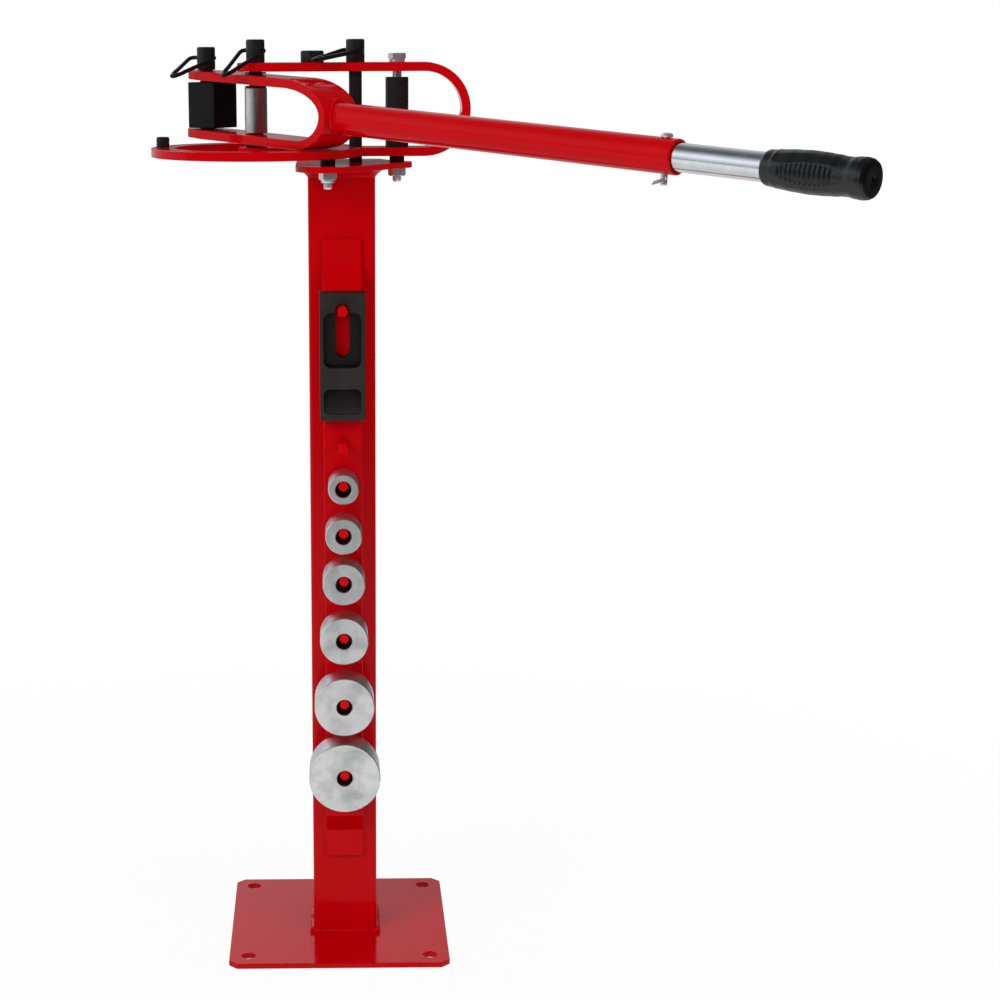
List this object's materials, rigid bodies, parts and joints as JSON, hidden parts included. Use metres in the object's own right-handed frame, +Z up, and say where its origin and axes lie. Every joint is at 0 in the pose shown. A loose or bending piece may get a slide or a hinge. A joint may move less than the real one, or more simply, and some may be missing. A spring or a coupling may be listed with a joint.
{
  "type": "pipe bender",
  "caption": "Free-standing manual pipe bender: floor plate and square post with a U-shaped bending frame, degree ring, forked arm with long grip, headed pins and a rack of dies.",
  "frame": {"origin": "on the floor under the middle of the post, in the base plate's underside", "axes": "+Z up the post; -Y towards the front, where the rack of dies is; +X to the right of a viewer who faces the rack. At rest the arm points to the front and right, 45 degrees from +X."},
  "size_m": [0.6344, 0.6609, 0.982],
  "materials": {
    "red_paint": "gloss red powder coat",
    "black_oxide": "satin black oxide on steel",
    "turned_steel": "turned bright steel",
    "zinc_plate": "bright zinc plate",
    "dark_iron": "dark oiled iron",
    "grip_rubber": "moulded, matt"
  },
  "bodies": {
    "stand": {"base_plate": "red_paint", "post": "red_paint", "mount_plate": "red_paint", "rack_strip": "red_paint", "rack_peg_1": "red_paint", "rack_peg_2": "red_paint", "rack_peg_3": "red_paint", "rack_peg_4": "red_paint", "rack_peg_5": "red_paint", "rack_peg_6": "red_paint", "rack_peg_7": "red_paint", "rack_peg_8": "red_paint", "bending_frame": "red_paint", "degree_ring": "red_paint", "front_spacer": "black_oxide", "right_spacer": "black_oxide", "tall_spacer": "black_oxide", "front_bolt": "zinc_plate", "front_nut": "zinc_plate", "right_bolt": "zinc_plate", "right_nut": "zinc_plate", "lock_washer": "zinc_plate", "lower_washer": "black_oxide"},
    "arm": {"fork": "red_paint", "handle_pipe": "red_paint", "handle_extension": "zinc_plate", "grip": "grip_rubber", "clevis_pin": "zinc_plate", "cotter_pin": "zinc_plate", "upper_washer": "black_oxide"},
    "pivot_die": {"pivot_die": "turned_steel", "die_washer": "black_oxide"},
    "pivot_pin": {"pivot_pin": "black_oxide"},
    "pivot_pin_bail": {"pivot_pin_bail": "black_oxide"},
    "press_block": {"press_block": "black_oxide"},
    "block_pin": {"block_pin": "black_oxide"},
    "block_pin_bail": {"block_pin_bail": "black_oxide"},
    "support_pin": {"support_pin": "black_oxide"},
    "support_pin_bail": {"support_pin_bail": "black_oxide"},
    "stop_pin": {"stop_pin": "black_oxide"},
    "strap_plug": {"strap_plug": "black_oxide"},
    "die_1": {"die_1": "turned_steel"},
    "die_2": {"die_2": "turned_steel"},
    "die_3": {"die_3": "turned_steel"},
    "die_4": {"die_4": "turned_steel"},
    "die_5": {"die_5": "turned_steel"},
    "die_6": {"die_6": "turned_steel"},
    "slotted_block": {"slotted_block": "dark_iron"}
  },
  "joints": [
    {"name": "arm_swing", "type": "hinge", "parent": "stand", "child": "arm", "pos_m": [-0.088, -0.016, 0.9], "axis": [0, 0, 1], "range_deg": [-88, 25]},
    {"name": "pivot_die_spin", "type": "hinge", "parent": "arm", "child": "pivot_die", "pos_m": [-0.088, -0.016, 0.91], "axis": [0, 0, 1], "continuous": true},
    {"name": "pivot_pin_lift", "type": "slide", "parent": "stand", "child": "pivot_pin", "axis": [0, 0, 1], "range_m": [0, 0.1]},
    {"name": "pivot_bail_turn", "type": "hinge", "parent": "pivot_pin", "child": "pivot_pin_bail", "pos_m": [-0.088, -0.016, 0.971], "axis": [0.809, -0.5878, 0], "range_deg": [-140, 0]},
    {"name": "press_block_turn", "type": "hinge", "parent": "arm", "child": "press_block", "pos_m": [-0.14174, 0.03774, 0.91], "axis": [0, 0, 1], "continuous": true},
    {"name": "block_pin_lift", "type": "slide", "parent": "arm", "child": "block_pin", "axis": [0, 0, 1], "range_m": [0, 0.085]},
    {"name": "block_bail_turn", "type": "hinge", "parent": "block_pin", "child": "block_pin_bail", "pos_m": [-0.14174, 0.03774, 0.96333], "axis": [0.809, -0.5878, 0], "range_deg": [-140, 0]},
    {"name": "support_pin_lift", "type": "slide", "parent": "stand", "child": "support_pin", "axis": [0, 0, 1], "range_m": [0, 0.11]},
    {"name": "support_bail_turn", "type": "hinge", "parent": "support_pin", "child": "support_pin_bail", "pos_m": [0.015, -0.016, 0.971], "axis": [0.6691, -0.7431, 0], "range_deg": [-140, 0]},
    {"name": "stop_pin_lift", "type": "slide", "parent": "stand", "child": "stop_pin", "axis": [0, 0, 1], "range_m": [0, 0.03]},
    {"name": "strap_plug_lift", "type": "slide", "parent": "stand", "child": "strap_plug", "axis": [0, 0, 1], "range_m": [0, 0.03]},
    {"name": "die_1_pull", "type": "slide", "parent": "stand", "child": "die_1", "axis": [0, -1, 0], "range_m": [0, 0.06]},
    {"name": "die_2_pull", "type": "slide", "parent": "stand", "child": "die_2", "axis": [0, -1, 0], "range_m": [0, 0.06]},
    {"name": "die_3_pull", "type": "slide", "parent": "stand", "child": "die_3", "axis": [0, -1, 0], "range_m": [0, 0.06]},
    {"name": "die_4_pull", "type": "slide", "parent": "stand", "child": "die_4", "axis": [0, -1, 0], "range_m": [0, 0.06]},
    {"name": "die_5_pull", "type": "slide", "parent": "stand", "child": "die_5", "axis": [0, -1, 0], "range_m": [0, 0.06]},
    {"name": "die_6_pull", "type": "slide", "parent": "stand", "child": "die_6", "axis": [0, -1, 0], "range_m": [0, 0.06]},
    {"name": "slotted_block_pull", "type": "slide", "parent": "stand", "child": "slotted_block", "axis": [0, -1, 0], "range_m": [0, 0.05]}
  ]
}
